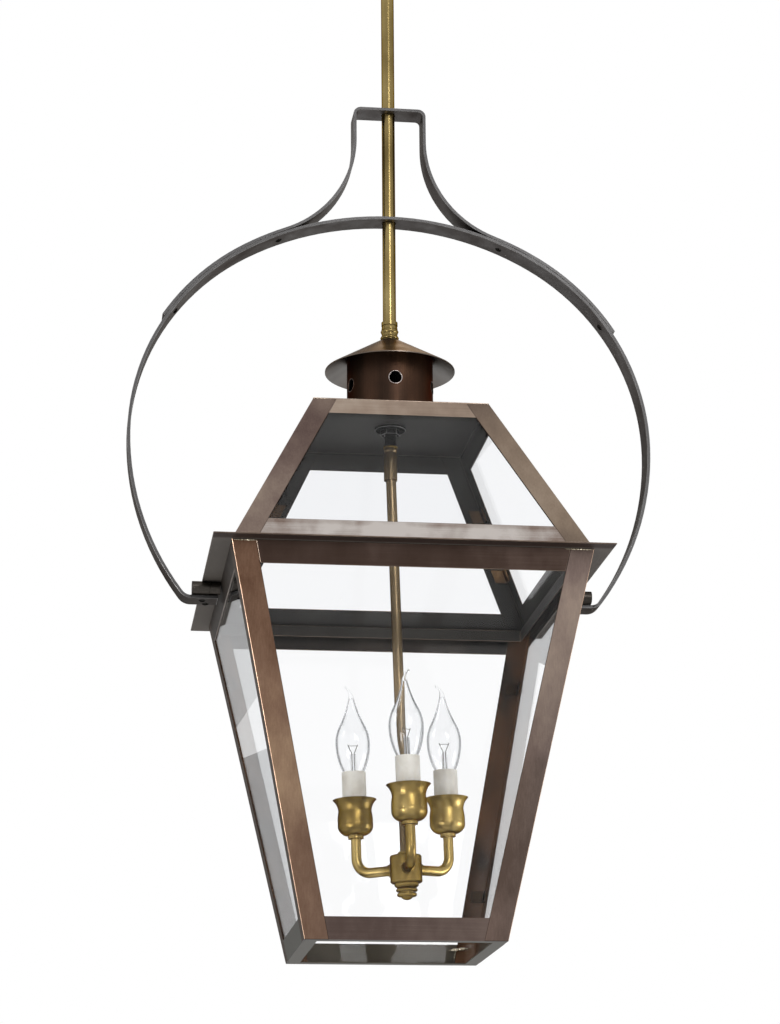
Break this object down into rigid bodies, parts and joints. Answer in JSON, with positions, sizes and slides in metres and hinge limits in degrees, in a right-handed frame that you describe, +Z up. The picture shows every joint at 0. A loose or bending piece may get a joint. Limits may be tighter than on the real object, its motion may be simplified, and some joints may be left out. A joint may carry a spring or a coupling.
{
  "type": "outdoor pendant light",
  "caption": "Square tapered pendant lantern with glazed body and hipped roof, vented chimney, strap yoke on a down rod, and a candle cluster with clear bent-tip lamps.",
  "frame": {"origin": "centre of the down rod's upper end, where the light is hung", "axes": "+Z up along the down rod, +X to the right along the yoke's plane, front towards -Y"},
  "size_m": [0.497, 0.354, 0.976],
  "materials": {
    "copper_sheet": "aged copper-brown sheet, satin",
    "roof_sheet": "aged copper-brown sheet, satin",
    "strap": "dull grey-bronze strap",
    "gold_brass": "satin lacquered brass",
    "fastener": "dull brass",
    "pane": "clear",
    "lamp_glass": "clear",
    "sleeve": "off-white, satin",
    "socket": "black",
    "lamp_base": "bright"
  },
  "bodies": {
    "lantern": {"down_rod": "gold_brass", "rod_coupling": "gold_brass", "vent_cone": "copper_sheet", "chimney": "copper_sheet", "support_nipple": "fastener", "ceiling_washer": "fastener", "ceiling_locknut": "fastener", "roof_plate": "roof_sheet", "eave_plate": "roof_sheet", "roof_hip_back_right": "roof_sheet", "roof_hip_back_left": "roof_sheet", "roof_hip_front_left": "roof_sheet", "roof_hip_front_right": "roof_sheet", "roof_pane_front": "pane", "roof_pane_right": "pane", "roof_pane_back": "pane", "roof_pane_left": "pane", "corner_post_back_right": "copper_sheet", "corner_post_back_left": "copper_sheet", "corner_post_front_left": "copper_sheet", "corner_post_front_right": "copper_sheet", "body_top_rails": "copper_sheet", "body_bottom_rails": "copper_sheet", "body_pane_front": "pane", "body_pane_right": "pane", "body_pane_back": "pane", "body_pane_left": "pane", "glass_clips": "fastener", "hoop_strap": "strap", "crown_strap": "strap", "yoke_rivets": "fastener", "pivot_bracket_right": "strap", "pivot_bracket_left": "strap", "pivot_leaf_right": "strap", "pivot_leaf_left": "strap", "pivot_pins": "fastener", "stem_coupling": "gold_brass", "inner_stem": "gold_brass", "cluster_hub": "gold_brass", "finial": "gold_brass", "arm_front": "gold_brass", "candle_cup_front": "gold_brass", "candle_sleeve_front": "sleeve", "lamp_socket_front": "socket", "arm_right": "gold_brass", "candle_cup_right": "gold_brass", "candle_sleeve_right": "sleeve", "lamp_socket_right": "socket", "arm_left": "gold_brass", "candle_cup_left": "gold_brass", "candle_sleeve_left": "sleeve", "lamp_socket_left": "socket"},
    "lamp_front": {"lamp_glass_front": "lamp_glass", "lamp_base_front": "lamp_base"},
    "lamp_right": {"lamp_glass_right": "lamp_glass", "lamp_base_right": "lamp_base"},
    "lamp_left": {"lamp_glass_left": "lamp_glass", "lamp_base_left": "lamp_base"}
  },
  "joints": [
    {"name": "unscrew_front", "type": "hinge", "parent": "lantern", "child": "lamp_front", "pos_m": [0.00703, -0.04897, -0.80672], "axis": [-0.0307, 0, 0.9995], "range_deg": [0, 1080]},
    {"name": "unscrew_right", "type": "hinge", "parent": "lantern", "child": "lamp_right", "pos_m": [0.05198, 0.023, -0.80534], "axis": [-0.0307, 0, 0.9995], "range_deg": [0, 1080]},
    {"name": "unscrew_left", "type": "hinge", "parent": "lantern", "child": "lamp_left", "pos_m": [-0.0328, 0.02597, -0.80794], "axis": [-0.0307, 0, 0.9995], "range_deg": [0, 1080]}
  ]
}
